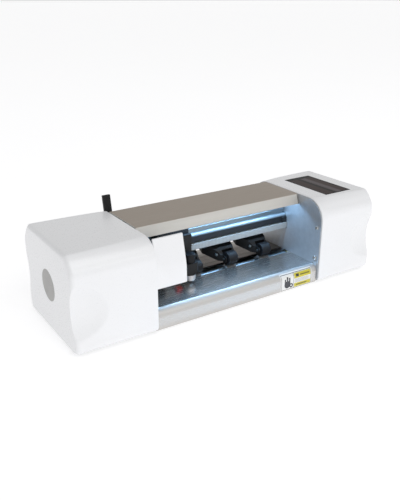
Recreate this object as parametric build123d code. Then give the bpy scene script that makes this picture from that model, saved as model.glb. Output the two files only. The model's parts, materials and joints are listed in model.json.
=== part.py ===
from build123d import *
import math
import os

# A small film and vinyl cutter.  Millimetres.  +X runs along the machine, +Y to the rear, +Z up.
# The origin is on the table, under the middle of the machine.
# Depths ("d") are measured rearwards from the front face, and turned into Y by depth().

# ---- overall ----
LENGTH = 400.0
DEPTH = 131.0
HEIGHT = 104.0
BODY_BOTTOM = 1.4
BAY_LEFT = -109.0
BAY_RIGHT = 114.0
WALL = 2.5
SHEET = 1.5
CORNER_R = 26.0
GAP = 0.3

# ---- end housings ----
RIM = 4.0
GRIP_LONG = 70.2
GRIP_ROUND = 56.6
GRIP_DEEP = 8.0
GRIP_Z = 47.0
BADGE_R = 17.0
BADGE_T = 0.8
BADGE_D = 64.0
BADGE_Z = 54.5
FOOT_EDGE_R = 8.0

# ---- display ----
DISPLAY_X = (137.0, 178.5)
DISPLAY_D = (21.0, 98.5)
GLASS_T = 1.5
LEDGE = 2.2

# ---- sheet metal of the bay ----
LEFT_PLATE = (-110.7, -109.2)
RIGHT_PLATE = (112.5, 114.0)
BAY_X = (LEFT_PLATE[1] + GAP / 2, RIGHT_PLATE[0] - GAP / 2)
COVER_D = (45.0, 107.0)
FLANGE_DROP = 12.0
FLANGE_LEAN = 4.5
DECK_Z = 25.2
DECK_LIP_D = 53.0
BEND_D = 28.0
NOSE_R = 9.0
NOSE_Z = 24.4
TUCK_R = 4.0
APRON_D = 2.5
APRON_BOTTOM = 0.9
LABEL_X = (56.3, 104.8)
LABEL_Z = (2.6, 23.4)
LABEL_T = 0.15
SHIELD_X = (BAY_LEFT, -74.0)
SHIELD_Z = 51.0
SHIELD_BEND_Z = 70.0
SHIELD_BEND_R = 60.0
SHIELD_TOP = (8.3, 102.5)

# ---- guide and carriage ----
BEAM_D = (63.5, 79.5)
BEAM_Z = (62.8, 74.5)
RAIL_D = (67.0, 76.0)
RAIL_TOP = 80.0
BELT_Z = (54.8, 62.2)
BELT_T = 1.3
PULLEY_R = 6.4
BELT_D = 69.3
MOTOR_X = -132.5
IDLER_X = 122.0
CAR_X = (-77.0, -37.0)
CAR_PLATE_D = (56.0, 61.3)
TOOL_X = -43.5
TOOL_D = 43.6
KNOB_D = 46.5
KNOB_R = 4.0

# ---- film drive ----
SHAFT_D = 61.0
SHAFT_Z = 18.9
SHAFT_R = 4.0
WHEEL_R = 7.0
PINCH_R = 8.3
PINCH_LEN = 13.0
PINCH_D = 60.0
FILM = 0.3
PINCH_Z = SHAFT_Z + WHEEL_R + FILM + PINCH_R
AXLE_R = 1.5
RUNNING = 0.05
ARM_COUNT = 4
ARM_PITCH = 50.3
ARM_MIDDLE = -1.15
PIVOT_D = 92.0
PIVOT_Z = 52.0
PIVOT_R = 3.0
CAM_D = 114.0
CAM_Z = 62.0
CAM_SHAFT_R = 3.0
LOBE_R = 5.8
LOBE_OFFSET = 3.0
DRIVE_PULLEY_R = 11.1
FEED_PULLEY_R = 5.1
FEED_D = 95.0
FEED_Z = 34.0
FEED_X = (118.0, 125.0)
MOTOR_SIDE = 35.0

# ---- lever ----
LEVER_X = (-108.7, -99.5)
LEVER_T = 4.0
LEVER_LEAN = 10.4
LEVER_LENGTH = 57.0

# ---- power entry, in the rear wall of the right housing ----
INLET_X = 128.0
SWITCH_X = 150.0
ENTRY_Z = 28.0
ROCKER_TILT = 10.0
ROCKER_D = DEPTH - 4.2
ROCKER_PIN_R = 1.0

# ---- feet ----
FOOT_R = 7.0
FOOT_X = (-185.0, -113.0, 77.0, 185.0)
FOOT_INSET = 17.0
BASE_Z = (2.4, 3.9)

ARM_X = [ARM_MIDDLE + ARM_PITCH * (i - (ARM_COUNT - 1) / 2) for i in range(ARM_COUNT)]


def depth(d):
    """Y of a point d behind the front face."""
    return d - DEPTH / 2


def block(x, d, z):
    """A box from its spans along X, depth and Z."""
    size = (x[1] - x[0], d[1] - d[0], z[1] - z[0])
    middle = ((x[0] + x[1]) / 2, depth((d[0] + d[1]) / 2), (z[0] + z[1]) / 2)
    return Pos(*middle) * Box(*size)


def rod_x(x, d, z, r):
    """A round bar along X."""
    middle = Pos((x[0] + x[1]) / 2, depth(d), z)
    return middle * Rot(0, 90, 0) * Cylinder(r, x[1] - x[0])


def rod_d(x, d, z, r):
    """A round bar along Y."""
    middle = Pos(x, depth((d[0] + d[1]) / 2), z)
    return middle * Rot(90, 0, 0) * Cylinder(r, d[1] - d[0])


def rod_z(x, d, z, r):
    """An upright round bar."""
    return Pos(x, depth(d), (z[0] + z[1]) / 2) * Cylinder(r, z[1] - z[0])


def outline(corners):
    """A face from (u, v, radius) corners, each rounded to its radius."""
    starts = []
    edges = []
    count = len(corners)
    for i, (u, v, r) in enumerate(corners):
        here = Vector(u, v)
        before = (Vector(*corners[i - 1][:2]) - here).normalized()
        after = (Vector(*corners[(i + 1) % count][:2]) - here).normalized()
        if r == 0:
            starts.append((here, here))
            continue
        half = math.radians(before.get_angle(after)) / 2
        run = r / math.tan(half)
        inward = (before + after).normalized() * (r / math.sin(half) - r)
        starts.append((here + before * run, here + after * run))
        edges.append(ThreePointArc(here + before * run, here + inward, here + after * run))
    for i in range(count):
        edges.append(Line(starts[i][1], starts[(i + 1) % count][0]))
    return make_face(edges)


def side_plane(x):
    """The plane across the machine at x: local x is depth from the middle, local y is Z."""
    return Plane(origin=(x, 0, 0), x_dir=(0, 1, 0), z_dir=(1, 0, 0))


def along_x(x, face):
    """A side profile, drawn in (depth, Z), drawn out along X."""
    return extrude(side_plane(x[0]) * Pos(-DEPTH / 2, 0) * face, amount=x[1] - x[0])


def along_z(z, face):
    """A plan profile, drawn in (X, depth), drawn out along Z."""
    return extrude(Pos(0, -DEPTH / 2, z[0]) * face, amount=z[1] - z[0])


# ---------------------------------------------------------------- end housings

def housing_section(x, knee_r, knee_z, setback, bulge):
    """One cross-section: upright sides, a knee, a shoulder that ends in the top face's crease."""
    half = DEPTH / 2
    turn = knee_r * math.sqrt(0.5)
    shoulder = (knee_r - turn, knee_z + turn)
    crease = (setback, HEIGHT)
    lean = math.atan2(crease[1] - shoulder[1], crease[0] - shoulder[0])
    mid_u = (shoulder[0] + crease[0]) / 2 - bulge * math.sin(lean)
    mid_v = (shoulder[1] + crease[1]) / 2 + bulge * math.cos(lean)
    eighth = math.radians(22.5)
    knee_mid = (knee_r * (1 - math.cos(eighth)), knee_z + knee_r * math.sin(eighth))
    foot_r = FOOT_EDGE_R
    foot = foot_r * (1 - math.sqrt(0.5))
    edges = []
    for side in (-1, 1):
        def at(u, v, side=side):
            return (side * (half - u), v)
        edges.append(Line(at(0, BODY_BOTTOM + foot_r), at(0, knee_z)))
        edges.append(ThreePointArc(at(0, knee_z), at(*knee_mid), at(*shoulder)))
        edges.append(ThreePointArc(at(*shoulder), at(mid_u, mid_v), at(*crease)))
        edges.append(ThreePointArc(at(foot_r, BODY_BOTTOM), at(foot, BODY_BOTTOM + foot),
                                   at(0, BODY_BOTTOM + foot_r)))
    edges.append(Line((-half + setback, HEIGHT), (half - setback, HEIGHT)))
    edges.append(Line((-half + foot_r, BODY_BOTTOM), (half - foot_r, BODY_BOTTOM)))
    return side_plane(x) * make_face(edges)


def grip(side, front, grow):
    """The ball-ended scoop that a hand lifts the machine by; grow makes it larger all round."""
    arc = EllipticalCenterArc((0, 0), GRIP_LONG + grow, GRIP_ROUND + grow, 0, arc_size=180)
    face = make_face([arc, Line((-GRIP_LONG - grow, 0), (GRIP_LONG + grow, 0))])
    ball = revolve(face, Axis.X, 360)
    away = DEPTH / 2 + GRIP_ROUND - GRIP_DEEP
    return Pos(side * LENGTH / 2, -away if front else away, GRIP_Z) * ball


def housing_shell(side):
    """A hollow end housing, open towards the bay and underneath."""
    inner = abs(BAY_LEFT if side < 0 else BAY_RIGHT)
    outer = LENGTH / 2
    rim_end = inner + RIM
    sections = [
        housing_section(side * rim_end, CORNER_R, HEIGHT - CORNER_R, CORNER_R, 1.98),
        housing_section(side * (inner + 26.0), 17.0, 82.5, 17.5, 0.8),
        housing_section(side * outer, 12.0, 86.0, 13.0, 0.1),
    ]
    body = loft(sections)
    rim = housing_section(side * inner, CORNER_R, HEIGHT - CORNER_R, CORNER_R, 1.98)
    body += extrude(rim, amount=side * RIM)
    for front in (True, False):
        body -= grip(side, front, 0)
    top = HEIGHT - WALL
    cavity = along_x(sorted((side * (inner - 1), side * (outer - WALL))), outline([
        (WALL, 0, 0), (WALL, top, CORNER_R - WALL),
        (DEPTH - WALL, top, CORNER_R - WALL), (DEPTH - WALL, 0, 0)]))
    for front in (True, False):
        cavity -= grip(side, front, WALL)
    return body - cavity


def left_housing():
    """The left housing, with the shallow round recess of its end badge."""
    recess = rod_x((-LENGTH / 2 - 1, -LENGTH / 2 + BADGE_T), BADGE_D, BADGE_Z, BADGE_R + 0.1)
    return housing_shell(-1) - recess


def right_housing():
    """The right housing, with the display's window and the power entry's holes."""
    shell = housing_shell(1)
    shell -= block(DISPLAY_X, DISPLAY_D, (HEIGHT - GLASS_T, HEIGHT + 1))
    inside_x = (DISPLAY_X[0] + LEDGE, DISPLAY_X[1] - LEDGE)
    inside_d = (DISPLAY_D[0] + LEDGE, DISPLAY_D[1] - LEDGE)
    shell -= block(inside_x, inside_d, (HEIGHT - 5, HEIGHT))
    shell -= rod_d(INLET_X, (DEPTH - 5, DEPTH + 1), ENTRY_Z, 4.1)
    shell -= block((SWITCH_X - 8.6, SWITCH_X + 8.6), (DEPTH - 5, DEPTH + 1), (ENTRY_Z - 6.1, ENTRY_Z + 6.1))
    shell -= block((SWITCH_X - 10.2, SWITCH_X + 10.2), (DEPTH - 1.2, DEPTH + 1), (ENTRY_Z - 7.6, ENTRY_Z + 7.6))
    return shell


def left_end_badge():
    """A plain round disc let into the left end."""
    return rod_x((-LENGTH / 2, -LENGTH / 2 + BADGE_T), BADGE_D, BADGE_Z, BADGE_R)


def display_glass():
    """The touch panel's cover glass, flush with the housing's top."""
    x = (DISPLAY_X[0] + 0.15, DISPLAY_X[1] - 0.15)
    d = (DISPLAY_D[0] + 0.15, DISPLAY_D[1] - 0.15)
    return block(x, d, (HEIGHT - GLASS_T, HEIGHT))


def display_module():
    """The display panel behind the glass."""
    x = (DISPLAY_X[0] + LEDGE + 0.3, DISPLAY_X[1] - LEDGE - 0.3)
    d = (DISPLAY_D[0] + LEDGE + 0.3, DISPLAY_D[1] - LEDGE - 0.3)
    return block(x, d, (HEIGHT - GLASS_T - 6.0, HEIGHT - GLASS_T))


# ---------------------------------------------------------------- chassis

def base_plate():
    """The steel floor that everything is screwed to."""
    x = (-LENGTH / 2 + WALL + 0.5, LENGTH / 2 - WALL - 0.5)
    wide = (WALL + 2.0, DEPTH - WALL - 2.0)
    plate = block(x, (WALL + 4.5, DEPTH - WALL - 4.5), BASE_Z)
    plate += block((x[0], LEFT_PLATE[0] - 0.2), wide, BASE_Z)
    return plate + block((RIGHT_PLATE[1] + 0.2, x[1]), wide, BASE_Z)


def rubber_feet():
    """Eight round feet, pressed against the base plate."""
    feet = []
    for x in FOOT_X:
        for d in (FOOT_INSET, DEPTH - FOOT_INSET):
            foot = rod_z(x, d, (0, BASE_Z[0]), FOOT_R)
            feet.append(fillet(foot.faces().sort_by(Axis.Z)[0].edges(), 1.0))
    return Compound(children=feet)


def plate_profile(inset):
    """The side plates' outline, which follows the housings' rounded shoulders."""
    r = CORNER_R - inset
    top = HEIGHT - max(inset, 0.8)
    foot = FOOT_EDGE_R - 2.0 - inset / 2
    return outline([(inset, BASE_Z[1], foot), (inset, top, r),
                    (DEPTH - inset, top, r), (DEPTH - inset, BASE_Z[1], foot)])


def side_plate(x, inset):
    """A steel side plate, pierced for the shafts, the pivot rod and the belt."""
    reach = (x[0] - 1, x[1] + 1)
    plate = along_x(x, plate_profile(inset))
    plate -= rod_x(reach, SHAFT_D, SHAFT_Z, 6.0)
    plate -= rod_x(reach, PIVOT_D, PIVOT_Z, PIVOT_R)
    plate -= rod_x(reach, CAM_D, CAM_Z, CAM_SHAFT_R + RUNNING)
    plate -= block(reach, (BELT_D - 8.6, BELT_D + 8.6), (BELT_Z[0] - 1.0, BELT_Z[1] + 0.4))
    return plate


def plate_screw_places(x, outward):
    """Where the side plates' screws sit: two near the front edge and two near the rear."""
    front = [(7.3, 32.3), (7.3, 70.7)]
    rear = [(DEPTH - 7.3, 32.3), (DEPTH - 7.3, 50.0)]
    return [(x, outward, d, z) for d, z in front + rear]


def plate_screws():
    """Dome-headed screws in both side plates, with their shanks inside the housings."""
    screws = []
    places = plate_screw_places(RIGHT_PLATE[0], -1) + plate_screw_places(LEFT_PLATE[1], 1)
    for x, outward, d, z in places:
        head = Pos(x, depth(d), z) * Rot(0, outward * 90, 0)
        dome = Pos(0, 0, 0.75) * Cylinder(2.6, 1.5)
        dome = fillet(dome.faces().sort_by(Axis.Z)[-1].edges(), 0.9)
        screws.append(head * (dome - Pos(0, 0, 1.3) * Cylinder(1.1, 1.4)))
    return Compound(children=screws)


def top_cover():
    """The bent cover over the mechanism: a leaning front flange, a flat top, an upright rear flange."""
    front, rear = COVER_D
    low = HEIGHT - FLANGE_DROP
    lip = front - FLANGE_LEAN
    return along_x((BAY_LEFT + 0.2, BAY_X[1]), outline([
        (lip, low, 0), (front - 0.6, HEIGHT, 1.2), (rear, HEIGHT, 1.2), (rear, low, 0),
        (rear - SHEET, low, 0), (rear - SHEET, HEIGHT - SHEET, 0),
        (front + 0.6, HEIGHT - SHEET, 0), (lip + SHEET, low, 0)]))


def deck_profile(mirror):
    """The bent sheet that carries the film, from the roller slot over the nose to the floor."""
    inner_nose = NOSE_R - SHEET
    lip_z = 20.5
    lip = DECK_LIP_D
    tuck = 9.0
    outer = [(lip, lip_z, 0), (lip, DECK_Z, 0.6), (BEND_D, DECK_Z - 0.6, 0),
             (APRON_D, NOSE_Z, NOSE_R), (APRON_D, APRON_BOTTOM, TUCK_R), (tuck, APRON_BOTTOM, 0)]
    inner = [(tuck, BASE_Z[0], 0), (APRON_D + SHEET, BASE_Z[0], TUCK_R - SHEET),
             (APRON_D + SHEET, NOSE_Z - SHEET, inner_nose), (BEND_D, DECK_Z - 0.6 - SHEET, 0),
             (lip - SHEET, DECK_Z - SHEET, 0), (lip - SHEET, lip_z, 0)]
    corners = outer + inner
    if mirror:
        corners = [(DEPTH - d, z, r) for d, z, r in corners]
    return outline(corners)


def front_deck():
    """The front platen and its rounded apron."""
    return along_x(BAY_X, deck_profile(False))


def rear_deck():
    """The rear platen, the front one's mirror image, with its lip close behind the drive wheels."""
    shift = 2 * (DEPTH / 2 - SHAFT_D) - 1.0
    flat = block(BAY_X, (DEPTH - DECK_LIP_D - shift, DEPTH - DECK_LIP_D), (DECK_Z - SHEET, DECK_Z))
    deck = along_x(BAY_X, deck_profile(True))
    deck -= block(BAY_X, (DEPTH - DECK_LIP_D - 1, DEPTH - DECK_LIP_D + SHEET), (15, DECK_Z - SHEET))
    return deck + flat


def front_label():
    """A thin sticker wrapped over the apron's right end."""
    def skin(grow):
        return outline([
            (BEND_D, DECK_Z - 0.6 + grow, 0), (APRON_D - grow, NOSE_Z + grow, NOSE_R + grow),
            (APRON_D - grow, APRON_BOTTOM - grow, TUCK_R + grow), (BEND_D, APRON_BOTTOM - grow, 0)])
    return along_x(LABEL_X, skin(LABEL_T) - skin(0)) & block(LABEL_X, (0, 20), LABEL_Z)


def rear_valance():
    """A strip that closes the rear of the mechanism above the film's way out."""
    return block((LEVER_X[1] + 2.0, BAY_X[1]), (103.9, 105.4), (72.0, HEIGHT - SHEET))


def carriage_shield():
    """The guard that the carriage parks behind: upright below, leaning back above a soft bend."""
    inset = 0.4
    thick = 2.2
    top_d, top_z = SHIELD_TOP
    lean = math.atan2(top_d - inset, top_z - SHIELD_BEND_Z)
    inner_bend = SHIELD_BEND_Z - thick * math.tan(lean / 2)
    skin = outline([(inset, SHIELD_Z, 0), (inset, SHIELD_BEND_Z, SHIELD_BEND_R), (top_d, top_z, 0),
                    (top_d + thick / math.cos(lean), top_z, 0),
                    (inset + thick, inner_bend, SHIELD_BEND_R - thick), (inset + thick, SHIELD_Z, 0)])
    return along_x(SHIELD_X, skin)


def led_strip():
    """A lamp board under the cover and the milky bar that spreads its light."""
    x = (BAY_X[0] + 8, BAY_X[1] - 8)
    board = block(x, (48.0, 57.0), (HEIGHT - SHEET - 1.2, HEIGHT - SHEET))
    bar = block(x, (49.5, 55.5), (HEIGHT - SHEET - 3.4, HEIGHT - SHEET - 1.2))
    return Compound(children=[board, bar])


# ---------------------------------------------------------------- guide, belt and motors

def guide_beam():
    """The beam that spans the bay, rounded along its upper front edge."""
    d, z = BEAM_D, BEAM_Z
    return along_x(BAY_X, outline([(d[0], z[0], 0.8), (d[0], z[1], 5.0), (d[1], z[1], 0.8), (d[1], z[0], 0.8)]))


def beam_brackets():
    """The two saddles that hold the beam's ends to the side plates."""
    saddles = []
    for x in ((BAY_X[0], BAY_X[0] + 7.0), (BAY_X[1] - 7.0, BAY_X[1])):
        saddle = along_x(x, outline([
            (BEAM_D[0] - 1.7, BEAM_Z[0] - 0.2, 0), (BEAM_D[0] - 1.7, 69.0, 1.5),
            (BEAM_D[0], 70.5, 0), (BEAM_D[0], BEAM_Z[0] - 0.2, 0)]))
        saddles.append(saddle)
        rear = block(x, (BEAM_D[1], BEAM_D[1] + 1.7), (BEAM_Z[0] - 0.2, 70.5))
        saddles.append(rear)
    return Compound(children=saddles)


def linear_rail():
    """The ground steel rail on top of the beam."""
    x = (BAY_X[0] + 3, BAY_X[1] - 3)
    rail = block(x, RAIL_D, (BEAM_Z[1], RAIL_TOP))
    return chamfer(rail.edges().filter_by(Axis.X).group_by(Axis.Z)[-1], 0.6)


def belt_loop(x, middle, r, thick, z):
    """A closed belt round two upright pulleys of the same radius."""
    def track(radius):
        slot = SlotCenterToCenter(x[1] - x[0], 2 * radius)
        return Pos((x[0] + x[1]) / 2, middle) * slot
    return along_z(z, track(r + thick) - track(r))


def carriage_belt():
    """The toothed belt that pulls the carriage; its teeth are too fine to draw here."""
    return belt_loop((MOTOR_X, IDLER_X), BELT_D, PULLEY_R + GAP, BELT_T - GAP, BELT_Z)


def flanged_pulley(r, width, flange_r, bore):
    """A small pulley: a drum between two flanges, on its own Z axis and centred on it."""
    drum = Cylinder(r, width)
    flange = Cylinder(flange_r, 1.0)
    wheel = drum + Pos(0, 0, width / 2 + 0.5) * flange + Pos(0, 0, -width / 2 - 0.5) * flange
    return wheel - Cylinder(bore, width + 4)


def belt_middle():
    """Height of the middle of the carriage belt."""
    return (BELT_Z[0] + BELT_Z[1]) / 2


def upright_pulley(x, shaft_r):
    """A pulley of the carriage belt, with its drum as tall as the belt is wide."""
    width = BELT_Z[1] - BELT_Z[0] + 2 * GAP
    return Pos(x, depth(BELT_D), belt_middle()) * flanged_pulley(PULLEY_R, width, PULLEY_R + 0.9, shaft_r)


def motor_pulley():
    """The carriage motor's pulley and the motor shaft that it is pressed on."""
    shaft = rod_z(MOTOR_X, BELT_D, (44.0, BELT_Z[1] + 2.5), 2.5)
    return upright_pulley(MOTOR_X, 2.4) + shaft


def idler_pulley():
    """The pulley at the far end of the carriage belt."""
    return upright_pulley(IDLER_X, 2.0 + RUNNING)


def idler_bracket():
    """The bracket on the right side plate, with the idler's pin."""
    shelf = block((RIGHT_PLATE[1], IDLER_X + 8), (BELT_D - 9, BELT_D + 9), (49.5, 51.5))
    flange = block((RIGHT_PLATE[1], RIGHT_PLATE[1] + 1.5), (BELT_D - 9, BELT_D + 9), (40.0, 49.5))
    pin = rod_z(IDLER_X, BELT_D, (51.5, BELT_Z[1] + 3.0), 2.0)
    spacer = rod_z(IDLER_X, BELT_D, (51.5, BELT_Z[0] - GAP - 1.2), 3.4)
    return shelf + flange + pin + spacer


def motor_body(length):
    """A square stepping motor, its face at z=0, its length downwards, its shaft hole in the middle."""
    half = MOTOR_SIDE / 2
    can = Pos(0, 0, -length / 2) * Box(MOTOR_SIDE, MOTOR_SIDE, length)
    can = chamfer(can.edges().filter_by(Axis.Z), 3.0)
    groove = Pos(0, 0, -length / 2) * (Box(60, 60, length - 14) - Box(MOTOR_SIDE - 1.2, MOTOR_SIDE - 1.2, 60))
    boss = Pos(0, 0, 0.9) * Cylinder(half * 0.62, 1.8)
    return can - groove + boss - Pos(0, 0, 2) * Cylinder(2.5 + RUNNING, 16)


def carriage_motor():
    """The motor that drives the carriage belt, standing in the left housing."""
    return Pos(MOTOR_X, depth(BELT_D), 46.0) * motor_body(32.0)


def feed_motor():
    """The motor that drives the film, lying in the right housing."""
    return Pos(FEED_X[1] + 2.2, depth(FEED_D), FEED_Z) * Rot(0, -90, 0) * motor_body(28.0)


def motor_brackets():
    """The shelf under the carriage motor's face and the upright plate beside the feed motor's."""
    shelf = block((MOTOR_X - 18, LEFT_PLATE[0] - 0.2), (BELT_D - 18, BELT_D + 18), (46.0, 47.6))
    shelf -= rod_z(MOTOR_X, BELT_D, (40, 50), 11.2)
    shelf += block((LEFT_PLATE[0] - 1.7, LEFT_PLATE[0]), (BELT_D - 18, BELT_D + 18), (30.0, 47.6))
    x = (FEED_X[1] + 0.6, FEED_X[1] + 2.2)
    reach = (FEED_D - 15.0, FEED_D + 17.5)
    upright = block(x, reach, (BASE_Z[1], FEED_Z + 15.0))
    upright -= rod_x((x[0] - 1, x[1] + 1), FEED_D, FEED_Z, 11.2)
    foot = block((x[0] - 9, x[0]), reach, (BASE_Z[1], BASE_Z[1] + 1.6))
    return Compound(children=[shelf, upright + foot])


# ---------------------------------------------------------------- carriage and tool

def rail_block():
    """The ball-bearing block that runs on the rail."""
    body = block((-70.0, -44.0), (61.6, 81.4), (BEAM_Z[1] + 0.9, 84.5))
    channel = block((-71, -43), (RAIL_D[0] - GAP, RAIL_D[1] + GAP), (BEAM_Z[1], RAIL_TOP + GAP))
    return body - channel


def carriage_body():
    """The carriage: a bridge on the rail block and a plate that hangs in front of the beam."""
    side = outline([(CAR_PLATE_D[0], 52.0, 1.0), (CAR_PLATE_D[0], 89.0, 3.0), (82.0, 89.0, 2.0),
                    (82.0, 84.5, 0), (CAR_PLATE_D[1], 84.5, 0), (CAR_PLATE_D[1], 52.0, 1.0)])
    body = along_x(CAR_X, side)
    cheek = outline([(48.0, 66.0, 1.0), (56.5, 86.0, 1.0), (56.5, 66.0, 0)])
    return body + along_x((CAR_X[0], CAR_X[0] + 2.0), cheek)


def belt_clamp():
    """The clamp under the carriage plate that holds the belt's front run."""
    x = (-62.0, -52.0)
    front_run = BELT_D - PULLEY_R - BELT_T
    floor = block(x, (56.0, 65.6), (52.0 - 2.2, 52.0))
    jaw = block(x, (front_run + BELT_T + GAP, 65.6), (52.0, 60.5))
    return floor + jaw


def lift_solenoid():
    """The coil that lifts the blade."""
    can = block((-75.0, -58.5), (45.0, 56.0), (56.0, 76.0))
    can = chamfer(can.edges().filter_by(Axis.Z), 1.0)
    return can - rod_z(-66.0, 50.5, (58.0, 80.0), 2.0 + RUNNING)


def tool_slide():
    """The slide that carries the blade holder up and down, with the solenoid's plunger."""
    plate = block((-56.5, -36.5), (50.6, 55.6), (50.6, 80.0))
    grip_block = block((-53.0, -36.0), (36.3, 50.0), (38.2, 51.0))
    grip_block = fillet(grip_block.edges().filter_by(Axis.Z).group_by(Axis.Y)[0], 3.0)
    web = block((-53.0, -36.5), (48.0, 55.6), (47.5, 52.0))
    lug = block((-53.0, -51.2), (42.0, 49.8), (29.0, 38.4))
    arm = block((-70.0, -56.0), (47.5, 53.5), (77.0, 80.0))
    plunger = rod_z(-66.0, 50.5, (62.0, 78.0), 2.0)
    slide = plate + grip_block + web + lug + arm + plunger
    slide -= rod_z(TOOL_X, TOOL_D, (30.0, 60.0), 5.0)
    slide -= rod_z(TOOL_X, TOOL_D, (51.0, 82.0), 6.6)
    return slide - rod_x((-60.0, -50.0), KNOB_D, 31.0, 1.5)


def blade_holder():
    """The turned holder: tip, nose collar, stem and knurled cap on one axis."""
    profile = make_face(Polyline(
        (0, 25.9), (0.5, 27.4), (2.4, 28.6), (5.6, 29.2), (6.4, 30.8), (6.4, 35.6), (5.9, 38.0),
        (5.0, 38.0), (5.0, 51.2), (6.4, 51.2), (6.4, 60.0), (5.4, 61.0), (0, 61.0), (0, 25.9)))
    turned = revolve(Plane.XZ * profile, Axis.Z, 360)
    return Pos(TOOL_X, depth(TOOL_D), 0) * turned


def clamp_knob():
    """The knurled thumb screw that clamps the holder."""
    knob = Cylinder(KNOB_R, 7.0)
    flutes = [Rot(0, 0, 30 * i) * Pos(KNOB_R + 0.4, 0, 0) * Cylinder(0.9, 9) for i in range(12)]
    for flute in flutes:
        knob -= flute
    knob += Pos(0, 0, 4.4) * Cylinder(AXLE_R - RUNNING, 3.2)
    return Pos(-57.0, depth(KNOB_D), 31.0) * Rot(0, 90, 0) * knob


# ---------------------------------------------------------------- film drive

def drive_shaft():
    """The shaft under the film, from the left bearing to the driven pulley."""
    return rod_x((LEFT_PLATE[0] - 3.0, FEED_X[1] + 0.8), SHAFT_D, SHAFT_Z, SHAFT_R)


def drive_wheels():
    """Four gritted wheels, one under each pinch roller."""
    wheels = []
    for x in ARM_X:
        wheel = rod_x((x - 7.0, x + 7.0), SHAFT_D, SHAFT_Z, WHEEL_R)
        wheel = chamfer(wheel.edges().filter_by(GeomType.CIRCLE), 0.4)
        wheels.append(wheel - rod_x((x - 8, x + 8), SHAFT_D, SHAFT_Z, SHAFT_R))
    return Compound(children=wheels)


def drive_bearings():
    """Flanged bushes in the two side plates."""
    bushes = []
    for plate, outward in ((LEFT_PLATE, -1), (RIGHT_PLATE, 1)):
        sleeve = rod_x(plate, SHAFT_D, SHAFT_Z, 6.0)
        face = plate[0] if outward < 0 else plate[1]
        flange = rod_x(sorted((face, face + outward * 1.5)), SHAFT_D, SHAFT_Z, 8.0)
        bush = sleeve + flange
        bushes.append(bush - rod_x((plate[0] - 4, plate[1] + 4), SHAFT_D, SHAFT_Z, SHAFT_R + RUNNING))
    return Compound(children=bushes)


def drive_pulley():
    """The large pulley on the drive shaft."""
    middle = Pos((FEED_X[0] + FEED_X[1]) / 2, depth(SHAFT_D), SHAFT_Z)
    wheel = flanged_pulley(DRIVE_PULLEY_R, 5.0, DRIVE_PULLEY_R - 0.2, SHAFT_R)
    return middle * Rot(0, 90, 0) * wheel


def feed_pulley():
    """The feed motor's small pulley and the motor shaft that it is pressed on."""
    middle = Pos((FEED_X[0] + FEED_X[1]) / 2, depth(FEED_D), FEED_Z)
    wheel = flanged_pulley(FEED_PULLEY_R, 5.0, FEED_PULLEY_R - 0.2, 2.4)
    shaft = rod_x((FEED_X[0] - 0.5, FEED_X[1] + 7.5), FEED_D, FEED_Z, 2.5)
    return middle * Rot(0, 90, 0) * wheel + shaft


def feed_belt():
    """The toothed belt between the feed motor and the drive shaft."""
    run = math.hypot(FEED_D - SHAFT_D, FEED_Z - SHAFT_Z)
    tilt = math.degrees(math.atan2(FEED_Z - SHAFT_Z, FEED_D - SHAFT_D))

    def track(grow):
        big = Circle(DRIVE_PULLEY_R + grow)
        small = Pos(run, 0) * Circle(FEED_PULLEY_R + grow)
        return make_hull([*big.edges(), *small.edges()])

    loop = Pos(SHAFT_D, SHAFT_Z) * Rot(0, 0, tilt) * (track(BELT_T) - track(GAP))
    return along_x((FEED_X[0] + 1.2, FEED_X[1] - 1.2), loop)


def arm_pivot_rod():
    """The rod that the pinch arms swing on."""
    return rod_x((LEFT_PLATE[0] - 1.0, RIGHT_PLATE[1] + 1.0), PIVOT_D, PIVOT_Z, PIVOT_R)


def arm_springs():
    """Torsion springs on the pivot rod, one beside each arm; the legs are left off."""
    coils = []
    wire_r = 0.45
    coil_r = PIVOT_R + 1.1
    for x in ARM_X:
        helix = Helix(pitch=1.5, height=7.5, radius=coil_r)
        ring = Plane(origin=helix @ 0, z_dir=helix % 0) * Circle(wire_r)
        coil = sweep(ring, path=helix, is_frenet=True)
        coils.append(Pos(x + 13.3, depth(PIVOT_D), PIVOT_Z) * Rot(0, 90, 0) * coil)
    return Compound(children=coils)


def pinch_arm(x):
    """A pinch arm: a sloping wedge, a fork for the roller, a hub on the pivot rod and a tail."""
    side = outline([
        (56.0, 31.0, 2.0), (56.0, 37.5, 2.0), (64.0, 38.8, 1.0), (69.8, 46.2, 1.5), (79.0, 50.6, 0),
        (87.0, 57.0, 3.0), (97.0, 58.0, 3.0), (108.0, 58.7, 0), (119.0, 58.7, 1.0),
        (119.0, 54.6, 1.0), (98.0, 50.0, 3.0), (93.0, 45.5, 3.0), (78.0, 38.0, 0), (66.0, 31.0, 2.0)])
    plan = outline([
        (-9.0, 54.0, 0), (9.0, 54.0, 0), (9.5, 66.0, 0), (11.0, 78.0, 0), (11.0, 99.0, 0), (6.0, 103.0, 0),
        (6.0, 120.0, 0), (-6.0, 120.0, 0), (-6.0, 103.0, 0), (-27.0, 99.0, 0), (-27.0, 80.0, 0),
        (-9.0, 62.0, 0)])
    body = along_x((x - 30.0, x + 15.0), side) & along_z((20.0, 70.0), Pos(x, 0) * plan)
    slot = PINCH_LEN / 2 + 0.7
    body -= block((x - slot, x + slot), (50.0, PINCH_D + PINCH_R + 1.0), (20.0, PINCH_Z + PINCH_R + 0.6))
    body -= rod_x((x - 40, x + 40), PIVOT_D, PIVOT_Z, PIVOT_R + RUNNING)
    return body - rod_x((x - 12, x + 12), PINCH_D, PINCH_Z, AXLE_R)


def pinch_axle(x):
    """The pin that a pinch roller turns on, held in the fork."""
    return rod_x((x - 9.6, x + 9.6), PINCH_D, PINCH_Z, AXLE_R)


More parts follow.
